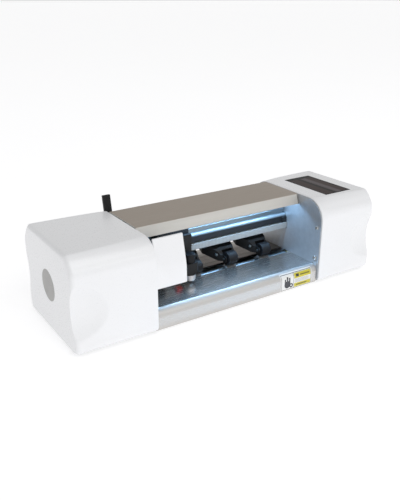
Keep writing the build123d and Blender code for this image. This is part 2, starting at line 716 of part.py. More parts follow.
def pinch_roller(x):
    """A rubber pinch roller."""
    half = PINCH_LEN / 2
    roller = rod_x((x - half, x + half), PINCH_D, PINCH_Z, PINCH_R)
    roller = fillet(roller.edges().filter_by(GeomType.CIRCLE), 0.8)
    return roller - rod_x((x - 10, x + 10), PINCH_D, PINCH_Z, AXLE_R + RUNNING)


# ---------------------------------------------------------------- lever

def cam_shaft():
    """The shaft that the lever turns, with a lobe over each arm's tail."""
    shaft = rod_x((LEFT_PLATE[0] - 1.5, RIGHT_PLATE[1] + 1.0), CAM_D, CAM_Z, CAM_SHAFT_R)
    for x in ARM_X:
        shaft += rod_x((x - 5.0, x + 5.0), CAM_D, CAM_Z + LOBE_OFFSET, LOBE_R)
    return shaft


def lift_lever():
    """The flat lever at the rear of the bay's left end, with a hub on the cam shaft."""
    width = LEVER_X[1] - LEVER_X[0]
    middle = Pos((LEVER_X[0] + LEVER_X[1]) / 2, depth(CAM_D), CAM_Z)
    hub = Rot(0, 90, 0) * Cylinder(6.5, width)
    bar = Pos(0, 0, LEVER_LENGTH / 2) * Box(width, LEVER_T, LEVER_LENGTH)
    bar = fillet(bar.edges(), 0.7)
    lever = hub + Rot(-LEVER_LEAN, 0, 0) * bar
    return middle * (lever - Rot(0, 90, 0) * Cylinder(CAM_SHAFT_R, width + 2))


# ---------------------------------------------------------------- electrics

def control_board():
    """The controller: a circuit board on four posts, with its larger parts."""
    z = 12.0
    board = block((132.0, 192.0), (30.0, 72.0), (z, z + 1.6))
    pieces = [board]
    for x in (136.0, 188.0):
        for d in (34.0, 68.0):
            pieces.append(rod_z(x, d, (BASE_Z[1], z), 2.5))
    pieces.append(block((150.0, 164.0), (44.0, 58.0), (z + 1.6, z + 3.2)))
    pieces.append(block((170.0, 184.0), (38.0, 46.0), (z + 1.6, z + 8.0)))
    pieces.append(rod_z(141.0, 50.0, (z + 1.6, z + 11.0), 4.0))
    return Compound(children=pieces)


def power_inlet():
    """The round low-voltage inlet in the rear wall, with its centre pin."""
    barrel = rod_d(INLET_X, (DEPTH - 14.0, DEPTH - 0.4), ENTRY_Z, 4.0)
    barrel -= rod_d(INLET_X, (DEPTH - 10.0, DEPTH + 1), ENTRY_Z, 2.9)
    barrel += rod_d(INLET_X, (DEPTH - 10.5, DEPTH - 2.5), ENTRY_Z, 1.0)
    flange = block((INLET_X - 6, INLET_X + 6), (DEPTH - WALL - 2.0, DEPTH - WALL), (ENTRY_Z - 6, ENTRY_Z + 6))
    return barrel + (flange - rod_d(INLET_X, (DEPTH - 9, DEPTH + 1), ENTRY_Z, 3.5))


def switch_frame():
    """The power switch's bezel and body, snapped into the rear wall."""
    x = (SWITCH_X - 10.0, SWITCH_X + 10.0)
    bezel = block(x, (DEPTH, DEPTH + 1.2), (ENTRY_Z - 7.4, ENTRY_Z + 7.4))
    body = block((SWITCH_X - 8.4, SWITCH_X + 8.4), (DEPTH - 12.0, DEPTH), (ENTRY_Z - 5.9, ENTRY_Z + 5.9))
    well = block((SWITCH_X - 7.3, SWITCH_X + 7.3), (DEPTH - 9.0, DEPTH + 2), (ENTRY_Z - 4.8, ENTRY_Z + 4.8))
    frame = Pos(0, -1.2, 0) * (bezel + Pos(0, 1.2, 0) * body - well)
    return frame - rod_z(SWITCH_X, ROCKER_D, (ENTRY_Z - 5.5, ENTRY_Z + 5.5), ROCKER_PIN_R + RUNNING)


def power_rocker():
    """The rocker on its two pins, pivoting about an upright axis, standing at its off side."""
    half = 6.3
    face = outline([(-half, 3.2, 0.8), (0, 2.2, 0), (half, 3.2, 0.8), (half - 1.2, -2.0, 0), (0, -4.6, 2.0),
                    (-half + 1.2, -2.0, 0)])
    rocker = Pos(0, 0, -4.4) * extrude(face, amount=8.8) + Cylinder(ROCKER_PIN_R, 10.8)
    return Pos(SWITCH_X, depth(ROCKER_D), ENTRY_Z) * Rot(0, 0, -ROCKER_TILT) * rocker


PARTS = {
    "left_housing": left_housing,
    "right_housing": right_housing,
    "left_end_badge": left_end_badge,
    "display_glass": display_glass,
    "display_module": display_module,
    "base_plate": base_plate,
    "rubber_feet": rubber_feet,
    "left_side_plate": lambda: side_plate(LEFT_PLATE, 3.0),
    "right_side_plate": lambda: side_plate(RIGHT_PLATE, 0.8),
    "plate_screws": plate_screws,
    "top_cover": top_cover,
    "front_deck": front_deck,
    "rear_deck": rear_deck,
    "front_label": front_label,
    "rear_valance": rear_valance,
    "carriage_shield": carriage_shield,
    "led_strip": led_strip,
    "guide_beam": guide_beam,
    "beam_brackets": beam_brackets,
    "linear_rail": linear_rail,
    "carriage_belt": carriage_belt,
    "motor_pulley": motor_pulley,
    "idler_pulley": idler_pulley,
    "idler_bracket": idler_bracket,
    "carriage_motor": carriage_motor,
    "feed_motor": feed_motor,
    "motor_brackets": motor_brackets,
    "rail_block": rail_block,
    "carriage_body": carriage_body,
    "belt_clamp": belt_clamp,
    "lift_solenoid": lift_solenoid,
    "tool_slide": tool_slide,
    "blade_holder": blade_holder,
    "clamp_knob": clamp_knob,
    "drive_shaft": drive_shaft,
    "drive_wheels": drive_wheels,
    "drive_bearings": drive_bearings,
    "drive_pulley": drive_pulley,
    "feed_pulley": feed_pulley,
    "feed_belt": feed_belt,
    "arm_pivot_rod": arm_pivot_rod,
    "arm_springs": arm_springs,
    "cam_shaft": cam_shaft,
    "lift_lever": lift_lever,
    "control_board": control_board,
    "power_inlet": power_inlet,
    "switch_frame": switch_frame,
    "power_rocker": power_rocker,
}


def main():
    """Write one STEP file for each sub-part."""
    os.makedirs("parts", exist_ok=True)
    for name, make in PARTS.items():
        export_step(make(), f"parts/{name}.step")
    for number, x in enumerate(ARM_X, start=1):
        for name, make in (("pinch_arm", pinch_arm), ("pinch_axle", pinch_axle), ("pinch_roller", pinch_roller)):
            export_step(make(x), f"parts/{name}_{number}.step")


main()
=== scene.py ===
import json
import math

import bmesh
import bpy
import numpy as np
from mathutils import Matrix, Vector


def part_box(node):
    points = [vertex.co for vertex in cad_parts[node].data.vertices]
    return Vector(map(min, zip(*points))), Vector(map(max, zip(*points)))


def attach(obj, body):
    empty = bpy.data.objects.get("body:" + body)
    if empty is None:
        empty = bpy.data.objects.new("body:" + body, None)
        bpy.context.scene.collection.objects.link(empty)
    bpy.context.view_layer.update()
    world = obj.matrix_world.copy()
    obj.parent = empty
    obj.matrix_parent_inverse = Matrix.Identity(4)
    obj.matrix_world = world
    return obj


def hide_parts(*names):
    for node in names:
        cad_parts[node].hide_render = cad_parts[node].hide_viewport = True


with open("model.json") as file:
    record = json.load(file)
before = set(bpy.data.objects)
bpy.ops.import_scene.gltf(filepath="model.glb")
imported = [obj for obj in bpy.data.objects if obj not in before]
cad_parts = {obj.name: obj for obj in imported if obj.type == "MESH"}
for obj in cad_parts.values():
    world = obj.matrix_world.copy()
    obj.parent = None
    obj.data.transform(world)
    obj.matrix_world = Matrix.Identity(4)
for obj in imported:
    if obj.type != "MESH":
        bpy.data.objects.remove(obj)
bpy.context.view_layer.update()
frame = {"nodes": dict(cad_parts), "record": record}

# A small vinyl cutter.  Metres in the scene; the shapes below are worked out in millimetres.
# "u" is a depth measured in from the nearer long face, and "s" a distance from a housing's inner end.

MM = 0.001
NODES = frame["nodes"]
HALF_LENGTH = 200.0
HALF_DEPTH = 65.5
HOUSING_TOP = 104.0


def box_mm(node):
    """A CAD node's lowest and highest corners, in millimetres."""
    low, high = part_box(node)
    return low / MM, high / MM


# ---------------------------------------------------------------- node helpers

class Graph:
    """A material's node tree, with one Principled shader and short ways to add what feeds it."""

    def __init__(self, name):
        self.material = bpy.data.materials.new(name)
        self.material.use_nodes = True
        self.tree = self.material.node_tree
        self.tree.nodes.clear()
        output = self.tree.nodes.new("ShaderNodeOutputMaterial")
        self.shader = self.tree.nodes.new("ShaderNodeBsdfPrincipled")
        self.tree.links.new(self.shader.outputs[0], output.inputs[0])
        coordinates = self.tree.nodes.new("ShaderNodeTexCoord")
        self.place = coordinates.outputs["Object"]

    def node(self, kind, **settings):
        made = self.tree.nodes.new(kind)
        for key, value in settings.items():
            setattr(made, key, value)
        return made

    def feed(self, socket, value):
        if isinstance(value, bpy.types.NodeSocket):
            self.tree.links.new(value, socket)
        else:
            socket.default_value = value

    def math(self, operation, a, b=0.0):
        made = self.node("ShaderNodeMath", operation=operation)
        self.feed(made.inputs[0], a)
        self.feed(made.inputs[1], b)
        return made.outputs[0]

    def split(self):
        """The place's X, Y and Z, in metres."""
        made = self.node("ShaderNodeSeparateXYZ")
        self.feed(made.inputs[0], self.place)
        return made.outputs[0], made.outputs[1], made.outputs[2]

    def normal(self):
        """The surface normal's X, Y and Z."""
        geometry = self.node("ShaderNodeNewGeometry")
        made = self.node("ShaderNodeSeparateXYZ")
        self.feed(made.inputs[0], geometry.outputs["Normal"])
        return made.outputs[0], made.outputs[1], made.outputs[2]

    def stretched(self, stretch):
        made = self.node("ShaderNodeMapping")
        self.feed(made.inputs["Vector"], self.place)
        made.inputs["Scale"].default_value = stretch
        return made.outputs[0]

    def noise(self, scale, detail=3.0, rough=0.5, stretch=None):
        made = self.node("ShaderNodeTexNoise")
        made.inputs["Scale"].default_value = scale
        made.inputs["Detail"].default_value = detail
        made.inputs["Roughness"].default_value = rough
        self.feed(made.inputs["Vector"], self.stretched(stretch) if stretch else self.place)
        return made.outputs["Fac"]

    def remap(self, value, low, high, to_low, to_high):
        made = self.node("ShaderNodeMapRange")
        for socket, given in zip(made.inputs, (value, low, high, to_low, to_high)):
            self.feed(socket, given)
        return made.outputs[0]

    def mix(self, factor, a, b):
        made = self.node("ShaderNodeMix", data_type="RGBA")
        self.feed(made.inputs["Factor"], factor)
        self.feed(made.inputs["A"], rgba(a) if isinstance(a, tuple) else a)
        self.feed(made.inputs["B"], rgba(b) if isinstance(b, tuple) else b)
        return made.outputs["Result"]

    def bump(self, height, strength, distance):
        made = self.node("ShaderNodeBump")
        made.inputs["Strength"].default_value = strength
        made.inputs["Distance"].default_value = distance
        self.feed(made.inputs["Height"], height)
        self.feed(self.shader.inputs["Normal"], made.outputs[0])

    def inside(self, value, low, high):
        """1 where value lies between low and high."""
        above = self.math("GREATER_THAN", value, low)
        below = self.math("LESS_THAN", value, high)
        return self.math("MULTIPLY", above, below)

    def set(self, **values):
        for key, value in values.items():
            socket = self.shader.inputs[key.replace("_", " ")]
            self.feed(socket, rgba(value) if isinstance(value, tuple) else value)


def rgba(colour):
    return (*colour, 1.0) if len(colour) == 3 else colour


def finish_surface(name, light, dark, metallic=0.0, rough=(0.3, 0.4), patch=60.0, grain=1800.0,
                   grain_bump=0.04, stretch=None, coat=0.0, specular=0.5):
    """A surface whose colour drifts between two tones and whose grain shows in gloss and relief."""
    g = Graph(name)
    drift = g.noise(patch, 3.0, 0.55)
    fine = g.noise(grain, 2.0, 0.6, stretch)
    blend = g.remap(g.math("ADD", g.math("MULTIPLY", drift, 0.7), g.math("MULTIPLY", fine, 0.3)),
                    0.35, 0.65, 0.0, 1.0)
    g.set(Base_Color=g.mix(blend, light, dark), Metallic=metallic, Coat_Weight=coat)
    g.shader.inputs["Specular IOR Level"].default_value = specular
    g.set(Roughness=g.remap(fine, 0.3, 0.7, rough[0], rough[1]))
    g.bump(fine, grain_bump, 0.0002)
    return g


# ---------------------------------------------------------------- materials

ALONG_X = (0.02, 1.0, 1.0)


def white_shell():
    """Moulded gloss plastic: almost white, with a faint orange peel."""
    g = finish_surface("white shell", (0.87, 0.875, 0.89), (0.845, 0.85, 0.865), rough=(0.26, 0.34),
                       patch=9.0, grain=700.0, grain_bump=0.02, coat=0.25)
    g.set(Coat_Roughness=0.12)
    return g.material


def cover_paint():
    """Brushed champagne metal with painted shade and light: the flat top painted darker and browner, the
    upright flanges painted lighter and greyer.
    """
    g = Graph("cover sheet")
    streak = g.noise(260.0, 4.0, 0.6, ALONG_X)
    fine = g.noise(2200.0, 2.0, 0.6, ALONG_X)
    _, _, up = g.normal()
    # Painted shade and light by facing: upward faces get the darker top tone, upright faces the lighter
    # flange tone.
    top = g.remap(up, 0.45, 0.9, 0.0, 1.0)
    lit_flange_tone = g.mix(streak, (0.58, 0.565, 0.53), (0.64, 0.625, 0.59))
    x, _, _ = g.split()
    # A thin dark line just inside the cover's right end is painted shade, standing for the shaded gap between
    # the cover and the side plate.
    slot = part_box("top_cover")[1].x
    lit_flange_tone = g.mix(g.inside(x, slot - 1.5 * MM, slot - 0.7 * MM), lit_flange_tone, (0.03, 0.03, 0.03))
    shaded_top_tone = g.mix(streak, (0.345, 0.295, 0.245), (0.385, 0.33, 0.275))
    g.set(Base_Color=g.mix(top, lit_flange_tone, shaded_top_tone), Metallic=0.35)
    g.set(Roughness=g.remap(fine, 0.3, 0.7, 0.36, 0.5))
    g.bump(fine, 0.05, 0.0002)
    return g.material


def sheet_metal(name, tone, metallic=0.9, rough=(0.2, 0.3), bump=0.03, streaky=0.1, bend=0.0):
    """Satin sheet with the faint streaks of rolling along X, duller by bend where it is folded."""
    g = Graph(name)
    streak = g.noise(140.0, 4.0, 0.6, ALONG_X)
    fine = g.noise(1900.0, 2.0, 0.6, ALONG_X)
    darker = tuple((1 - streaky) * part for part in tone)
    g.set(Base_Color=g.mix(g.remap(streak, 0.35, 0.65, 0.0, 1.0), tone, darker), Metallic=metallic)
    gloss = g.remap(fine, 0.3, 0.7, rough[0], rough[1])
    if bend:
        _, _, up = g.normal()
        fold = g.math("MULTIPLY", g.remap(up, 0.97, 0.9995, bend, 0.0), g.remap(up, 0.05, 0.4, 0.0, 1.0))
        gloss = g.math("ADD", gloss, fold)
    g.set(Roughness=gloss)
    if bump:
        g.bump(fine, bump, 0.0002)
    return g.material


def rear_sheet():
    """The rear deck's sheet with painted shade and light: dark and brownish under the arms, brighter towards
    the film exit.
    """
    g = Graph("rear deck sheet")
    streak = g.noise(140.0, 4.0, 0.6, ALONG_X)
    _, y, _ = g.split()
    open_side = g.remap(y, 34 * MM, 54 * MM, 0.0, 1.0)
    shaded = g.mix(streak, (0.115, 0.098, 0.084), (0.095, 0.081, 0.070))
    lit = g.mix(streak, (0.50, 0.475, 0.445), (0.46, 0.435, 0.41))
    g.set(Base_Color=g.mix(open_side, shaded, lit), Metallic=0.9)
    g.set(Roughness=g.remap(streak, 0.3, 0.7, 0.26, 0.32))
    return g.material


def panel_glass():
    """The display's glass: near black, with the switched-off panel just showing inside its border and painted
    reflections across it.
    """
    g = Graph("panel glass")
    low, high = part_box("display_glass")
    x, y, _ = g.split()
    margin = 2.6 * MM
    shown = g.math("MULTIPLY", g.inside(x, low.x + margin, high.x - margin),
                   g.inside(y, low.y + margin, high.y - 3 * margin))
    cloud = g.noise(25.0, 2.0, 0.5)
    panel = g.mix(cloud, (0.030, 0.017, 0.014), (0.045, 0.028, 0.025))
    share = g.remap(x, low.x, high.x, 0.0, 1.0)
    # Painted reflections: a paler reddish band and a darker band run across the panel.
    for centre, reach, tone in ((0.60, 0.14, (0.10, 0.085, 0.09)), (0.42, 0.08, (0.006, 0.005, 0.005))):
        away = g.math("ABSOLUTE", g.math("SUBTRACT", share, centre))
        panel = g.mix(g.remap(away, 0.4 * reach, reach, 1.0, 0.0), panel, tone)
    g.set(Base_Color=g.mix(shown, (0.008, 0.007, 0.007), panel))
    g.shader.inputs["IOR"].default_value = 1.09
    g.set(Roughness=g.remap(cloud, 0.3, 0.7, 0.05, 0.09))
    return g.material


def label_film():
    """A generic instruction sticker: a thin border, a plain shape in a square, and yellow bands."""
    g = Graph("label film")
    low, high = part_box("front_label")
    x, _, z = g.split()

    def rect(x0, x1, z0, z1):
        return g.math("MULTIPLY", g.inside(x, low.x + x0 * MM, low.x + x1 * MM),
                      g.inside(z, low.z + z0 * MM, low.z + z1 * MM))

    def ring(cx, cz, r0, r1):
        dx = g.math("SUBTRACT", x, low.x + cx * MM)
        dz = g.math("SUBTRACT", z, low.z + cz * MM)
        away = g.math("SQRT", g.math("ADD", g.math("MULTIPLY", dx, dx), g.math("MULTIPLY", dz, dz)))
        return g.inside(away, r0 * MM, r1 * MM)

    wide = (high.x - low.x) / MM
    tall = (high.z - low.z) / MM
    white, ink, yellow, grey = (0.82, 0.82, 0.80), (0.02, 0.02, 0.025), (0.60, 0.52, 0.03), (0.42, 0.42, 0.40)
    speck = g.noise(900.0, 2.0, 0.5)
    colour = g.mix(speck, white, tuple(0.96 * part for part in white))
    frame_out = rect(1.0, wide - 1.0, 1.0, tall - 1.0)
    frame_in = rect(1.5, wide - 1.5, 1.5, tall - 1.5)
    colour = g.mix(g.math("SUBTRACT", frame_out, frame_in), colour, ink)
    square = g.math("SUBTRACT", rect(1.5, 20.2, 1.5, tall - 1.5), rect(1.5, 19.7, 1.5, tall - 1.5))
    colour = g.mix(square, colour, ink)
    for left, top in ((6.0, 14.6), (9.2, 16.8), (12.4, 15.4)):
        colour = g.mix(rect(left, left + 2.2, 7.0, top), colour, ink)
    for cx, cz, r0, r1 in ((10.4, 7.4, 0.0, 4.6), (16.2, 5.2, 1.2, 2.8)):
        colour = g.mix(ring(cx, cz, r0, r1), colour, ink)
    colour = g.mix(rect(20.8, wide - 1.9, tall - 8.2, tall - 1.9), colour, yellow)
    colour = g.mix(rect(20.8, wide - 1.9, 1.9, 6.6), colour, yellow)
    for row in range(4):
        low_z = 7.6 + 1.2 * row
        colour = g.mix(rect(22.0, wide - 3.2 - 2.6 * (row % 2), low_z, low_z + 0.55), colour, grey)
    dim = tuple(0.25 * part for part in yellow)
    colour = g.mix(rect(23.5, 28.0, tall - 6.4, tall - 3.2), colour, ink)
    colour = g.mix(rect(30.0, wide - 4.0, tall - 5.6, tall - 4.2), colour, dim)
    colour = g.mix(rect(24.0, wide - 8.0, 3.6, 5.0), colour, dim)
    g.set(Base_Color=colour, Coat_Weight=0.5, Coat_Roughness=0.15)
    g.set(Roughness=g.remap(speck, 0.3, 0.7, 0.3, 0.4))
    return g.material


def lamp_white():
    """The lit bar under the cover."""
    g = Graph("lamp bar")
    glow = g.noise(90.0, 2.0, 0.5)
    g.set(Base_Color=g.mix(glow, (0.8, 0.85, 0.9), (0.75, 0.8, 0.88)), Roughness=0.4)
    g.set(Emission_Color=(0.55, 0.80, 1.0), Emission_Strength=1.6)
    return g.material


def toothed_belt(name, tone, across):
    """Belt rubber with a tooth every 2 mm along its run."""
    g = Graph(name)
    x, y, _ = g.split()
    along = x if across == "x" else y
    wave = g.math("SINE", g.math("MULTIPLY", along, 2 * math.pi / (2.0 * MM)))
    tooth = g.remap(wave, -0.4, 0.4, 0.0, 1.0)
    dirt = g.noise(120.0, 3.0, 0.6)
    darker = tuple(0.72 * part for part in tone)
    # Painted shade: the grooves between the teeth are painted darker than the tooth tops.
    colour = g.mix(tooth, darker, tone)
    g.set(Base_Color=g.mix(g.remap(dirt, 0.4, 0.7, 0.0, 0.35), colour, darker), Roughness=0.6)
    g.bump(tooth, 0.5, 0.0004)
    return g.material


def roller_rubber():
    """Black rubber with fine ground rings round the roller."""
    g = Graph("roller rubber")
    x, _, _ = g.split()
    rings = g.math("SINE", g.math("MULTIPLY", x, 2 * math.pi / (1.1 * MM)))
    dust = g.noise(500.0, 3.0, 0.6)
    tone = g.mix(g.remap(dust, 0.4, 0.75, 0.0, 1.0), (0.003, 0.003, 0.004), (0.010, 0.010, 0.012))
    g.set(Base_Color=tone, Roughness=g.remap(dust, 0.3, 0.7, 0.45, 0.62))
    g.shader.inputs["Specular IOR Level"].default_value = 0.3
    g.bump(rings, 0.35, 0.0002)
    return g.material


def grit_metal():
    """Steel with a coarse grit that grips the film."""
    g = Graph("grit wheel")
    cells = g.node("ShaderNodeTexVoronoi")
    cells.inputs["Scale"].default_value = 1500.0
    g.feed(cells.inputs["Vector"], g.place)
    grit = g.remap(cells.outputs["Distance"], 0.0, 0.5, 1.0, 0.0)
    g.set(Base_Color=g.mix(grit, (0.16, 0.16, 0.16), (0.42, 0.42, 0.41)), Metallic=0.7)
    g.set(Roughness=g.remap(grit, 0.0, 1.0, 0.65, 0.4))
    g.bump(grit, 0.8, 0.0003)
    return g.material


def board_green():
    """Circuit board: green lacquer with paler tracks."""
    g = Graph("circuit board")
    tracks = g.node("ShaderNodeTexBrick")
    tracks.inputs["Scale"].default_value = 160.0
    tracks.inputs["Mortar Size"].default_value = 0.012
    tracks.inputs["Color1"].default_value = rgba((0.02, 0.13, 0.06))
    tracks.inputs["Color2"].default_value = rgba((0.025, 0.16, 0.07))
    tracks.inputs["Mortar"].default_value = rgba((0.05, 0.26, 0.12))
    g.feed(tracks.inputs["Vector"], g.place)
    g.set(Base_Color=tracks.outputs["Color"], Roughness=g.remap(g.noise(300.0), 0.3, 0.7, 0.3, 0.45))
    return g.material


def turned(name, tone, metallic=1.0, rough=(0.2, 0.34)):
    """Turned metal: fine rings in relief, with a slightly uneven tone."""
    g = Graph(name)
    fine = g.noise(2600.0, 2.0, 0.6, (1.0, 0.25, 1.0))
    drift = g.noise(120.0, 2.0, 0.5)
    darker = tuple(0.82 * part for part in tone)
    g.set(Base_Color=g.mix(drift, tone, darker), Metallic=metallic)
    g.set(Roughness=g.remap(fine, 0.3, 0.7, rough[0], rough[1]))
    g.bump(fine, 0.06, 0.0001)
    return g.material


def holder_metal():
    """The holder: a bright nose and collar under a black knurled body."""
    g = Graph("holder metal")
    _, _, z = g.split()
    knurl = g.noise(2600.0, 2.0, 0.6, (1.0, 1.0, 0.3))
    upper = g.math("GREATER_THAN", z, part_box("blade_holder")[0].z + 10.0 * MM)
    bright = g.mix(knurl, (0.74, 0.74, 0.76), (0.62, 0.62, 0.64))
    g.set(Base_Color=g.mix(upper, bright, (0.012, 0.012, 0.013)), Metallic=0.7)
    g.set(Roughness=g.remap(knurl, 0.3, 0.7, 0.25, 0.4))
    g.bump(knurl, 0.1, 0.0001)
    return g.material


def black_anodised():
    """Black anodising with a painted highlight: lighter and partly metallic along the rounded edges that face
    up and forward.
    """
    g = Graph("black anodised")
    grain = g.noise(2200.0, 2.0, 0.6, ALONG_X)
    _, across, up = g.normal()
    turned_up = g.math("MULTIPLY", g.math("MULTIPLY", across, -2.0), up)
    # Painted highlight: edges that face up and forward, towards the lamp bar, are painted lighter and
    # metallic.
    painted_edge_highlight = g.remap(turned_up, 0.3, 0.98, 0.0, 1.0)
    black = g.mix(grain, (0.010, 0.0105, 0.012), (0.016, 0.017, 0.019))
    g.set(Base_Color=g.mix(painted_edge_highlight, black, (0.26, 0.30, 0.33)), Metallic=g.remap(painted_edge_highlight, 0.0, 1.0, 0.0, 0.6))
    g.shader.inputs["Specular IOR Level"].default_value = 0.25
    g.set(Roughness=g.remap(grain, 0.3, 0.7, 0.38, 0.46))
    return g.material


def black_surface(name, tone, rough, metallic=0.0, grain_bump=0.06, specular=0.5):
    """Black plastic, paint or rubber with a fine grain."""
    light = (tone * 1.25, tone * 1.3, tone * 1.4)
    dark = (tone * 0.8, tone * 0.8, tone * 0.85)
    g = finish_surface(name, light, dark, metallic=metallic, rough=rough, patch=150.0, grain=2200.0,
                       grain_bump=grain_bump, specular=specular)
    return g.material


def make_materials():
    """One material for each of the record's slots."""
    badge = finish_surface("badge metal", (0.40, 0.395, 0.385), (0.35, 0.345, 0.34), metallic=0.5,
                           rough=(0.35, 0.5), patch=80.0, stretch=(1.0, 0.05, 1.0)).material
    return {
        "white_shell": white_shell(),
        "badge_grey": badge,
        "panel_glass": panel_glass(),
        "dark_plastic": black_surface("dark plastic", 0.009, (0.42, 0.55), specular=0.3),
        "zinc_sheet": sheet_metal("zinc sheet", (0.52, 0.53, 0.54), 0.85, (0.3, 0.45)),
        "soft_rubber": black_surface("foot rubber", 0.02, (0.6, 0.75), grain_bump=0.15),
        "grey_paint": sheet_metal("side plate sheet", (0.50, 0.52, 0.55), 0.72, (0.4, 0.48)),
        "screw_steel": turned("screw steel", (0.62, 0.61, 0.59)),
        "cover_paint": cover_paint(),
        "deck_paint": sheet_metal("deck sheet", (0.585, 0.57, 0.55), 0.94, (0.24, 0.28), 0.0, 0.03, 0.3),
        # The rear deck's own sheet, with painted shade under the arms and painted light towards the film
        # exit.
        "rear_sheet": rear_sheet(),
        "label_film": label_film(),
        "shield_plastic": white_shell(),
        "lamp_white": lamp_white(),
        "black_anodised": black_anodised(),
        # The ground steel is darkened and tinted blue-grey as a painted reflection of the cover's dark,
        # blue-lit underside.
        "ground_steel": turned("ground steel", (0.24, 0.30, 0.34), 1.0, (0.30, 0.42)),
        "white_belt": toothed_belt("white belt", (0.36, 0.36, 0.35), "x"),
        "black_belt": toothed_belt("black belt", (0.03, 0.03, 0.03), "y"),
        "pulley_metal": turned("pulley metal", (0.60, 0.60, 0.61)),
        "motor_black": black_surface("motor black", 0.03, (0.35, 0.5), metallic=0.3),
        "coil_steel": turned("coil steel", (0.10, 0.10, 0.105), 0.8, (0.35, 0.5)),
        "holder_metal": holder_metal(),
        "red_anodised": turned("red anodised", (0.52, 0.02, 0.02), 0.6, (0.25, 0.38)),
        "grit_metal": grit_metal(),
        "bush_brass": turned("bush brass", (0.58, 0.43, 0.18)),
        "spring_steel": turned("spring steel", (0.45, 0.45, 0.45)),
        "board_green": board_green(),
        "arm_black": black_surface("arm black", 0.006, (0.36, 0.48), specular=0.3),
        "roller_rubber": roller_rubber(),
    }


# ---------------------------------------------------------------- mesh helpers

def add_piece(name, mesh, body, slot):
    """Puts a finished mesh into the scene as a piece that rides on a body."""
    piece = bpy.data.objects.new(name, mesh)
    bpy.context.scene.collection.objects.link(piece)
    mesh.materials.append(MATERIALS[slot])
    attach(piece, body)
    return piece


def mesh_from(name, points_mm, faces):
    """A mesh from points in millimetres, with its normals turned outwards."""
    mesh = bpy.data.meshes.new(name)
    mesh.from_pydata([tuple(MM * float(c) for c in p) for p in points_mm], [], faces)
    build = bmesh.new()
    build.from_mesh(mesh)
    bmesh.ops.remove_doubles(build, verts=build.verts, dist=1e-6)
    bmesh.ops.recalc_face_normals(build, faces=build.faces)
    build.to_mesh(mesh)
    build.free()
    mesh.shade_smooth()
    return mesh


def cut(piece, cutter_mesh):
    """Takes a closed shape out of a piece for good."""
    tool = bpy.data.objects.new("cutter", cutter_mesh)
    bpy.context.scene.collection.objects.link(tool)
    modifier = piece.modifiers.new("cut", "BOOLEAN")
    modifier.operation = "DIFFERENCE"
    modifier.solver = "EXACT"
    modifier.object = tool
    graph = bpy.context.evaluated_depsgraph_get()
    made = bpy.data.meshes.new_from_object(piece.evaluated_get(graph))
    piece.modifiers.clear()
    piece.data = made
    bpy.data.objects.remove(tool)


def block_mesh(low, high):
    """A box from two corners in millimetres."""
    build = bmesh.new()
    bmesh.ops.create_cube(build, size=1.0)
    low, high = Vector(low), Vector(high)
    for vert in build.verts:
        vert.co = Vector((low[i] + (vert.co[i] + 0.5) * (high[i] - low[i])) * MM for i in range(3))
    mesh = bpy.data.meshes.new("block")
    build.to_mesh(mesh)
    build.free()
    return mesh


def drum_mesh(centre, radius, length):
    """A round bar along Y about a centre, in millimetres."""
    build = bmesh.new()
    bmesh.ops.create_cone(build, cap_ends=True, segments=64, radius1=radius * MM,
                          radius2=radius * MM, depth=length * MM)
    turn = Matrix.Rotation(math.pi / 2, 4, "X")
    bmesh.ops.transform(build, matrix=Matrix.Translation(Vector(centre) * MM) @ turn, verts=build.verts)
    mesh = bpy.data.meshes.new("drum")
    build.to_mesh(mesh)
    build.free()
    return mesh


def soften(piece, width):
    """Rounds a piece's hard edges a little and keeps its flats flat."""
    weld = piece.modifiers.new("weld", "WELD")
    weld.merge_threshold = 2e-6
    bevel = piece.modifiers.new("edges", "BEVEL")
    bevel.width = width * MM
    bevel.segments = 2
    bevel.limit_method = "ANGLE"
    bevel.angle_limit = math.radians(32.0)
    weighted = piece.modifiers.new("flats", "WEIGHTED_NORMAL")
    weighted.weight = 80


# ---------------------------------------------------------------- end housings

WALL = 2.5
FOOT_R = 8.0
CAVITY_R = 23.5
# The hand grip is a scoop of these half lengths along X and round its middle, sunk this deep.
GRIP_LONG = 70.2
GRIP_ROUND = 56.6
GRIP_DEEP = 8.0
GRIP_Z = 47.0
SCOOP_BLEND = 0.35
# The ends are rounded towards a point at this height, so that the foot hardly lifts.
INSET_Z = 15.0
# The inner end's rounding grows from the first width to the housing's own above this height.
LIP_EDGE = 0.35
LIP_Z = 97.0
# How far each housing's shoulder widens at its inner end, left (-1) and right (1).
EASE = {-1: 0.35, 1: 1.0}
# How finely the profiles and the rows between them are divided.
FOOT_STEPS = 6
WALL_STEPS = 52
ARC_STEPS = 9
TOP_STEPS = 26
SILL_STEPS = 30
ROW_STEP = 1.55
# How fast the shoulder's changes fade along the length: the long one, the one at the lip and the bulge.
FAR_FADE = 50.0
NEAR_FADE = 5.0
BULGE_FADE = 12.0
# How far the points beside the crease lie from it.
CREASE_NEAR = 0.45
CREASE_FAR = 2.2
# The rounding of the outer ends, and of each inner end's upper edge.
OUTER_EDGE = 4.6
LEFT_INNER_EDGE = 2.8
RIGHT_INNER_EDGE = 0.8
# The right end has no badge, and its rings only run in to this circle.
RIGHT_RING_CENTRE = (-1.5, 54.5)
RIGHT_RING_R = 17.0


def profile_at(s, side):
    """(knee radius, knee height, setback of the crease, bulge of the shoulder) at s from the inner end."""
    far, near = math.exp(-s / FAR_FADE), EASE[side] * math.exp(-s / NEAR_FADE)
    return (14.5 + 4.5 * far + 7.0 * near, 83.0 - 2.5 * far - 2.5 * near,
            13.0 + 7.0 * far + 6.0 * near, 0.9 + 1.08 * math.exp(-s / BULGE_FADE))


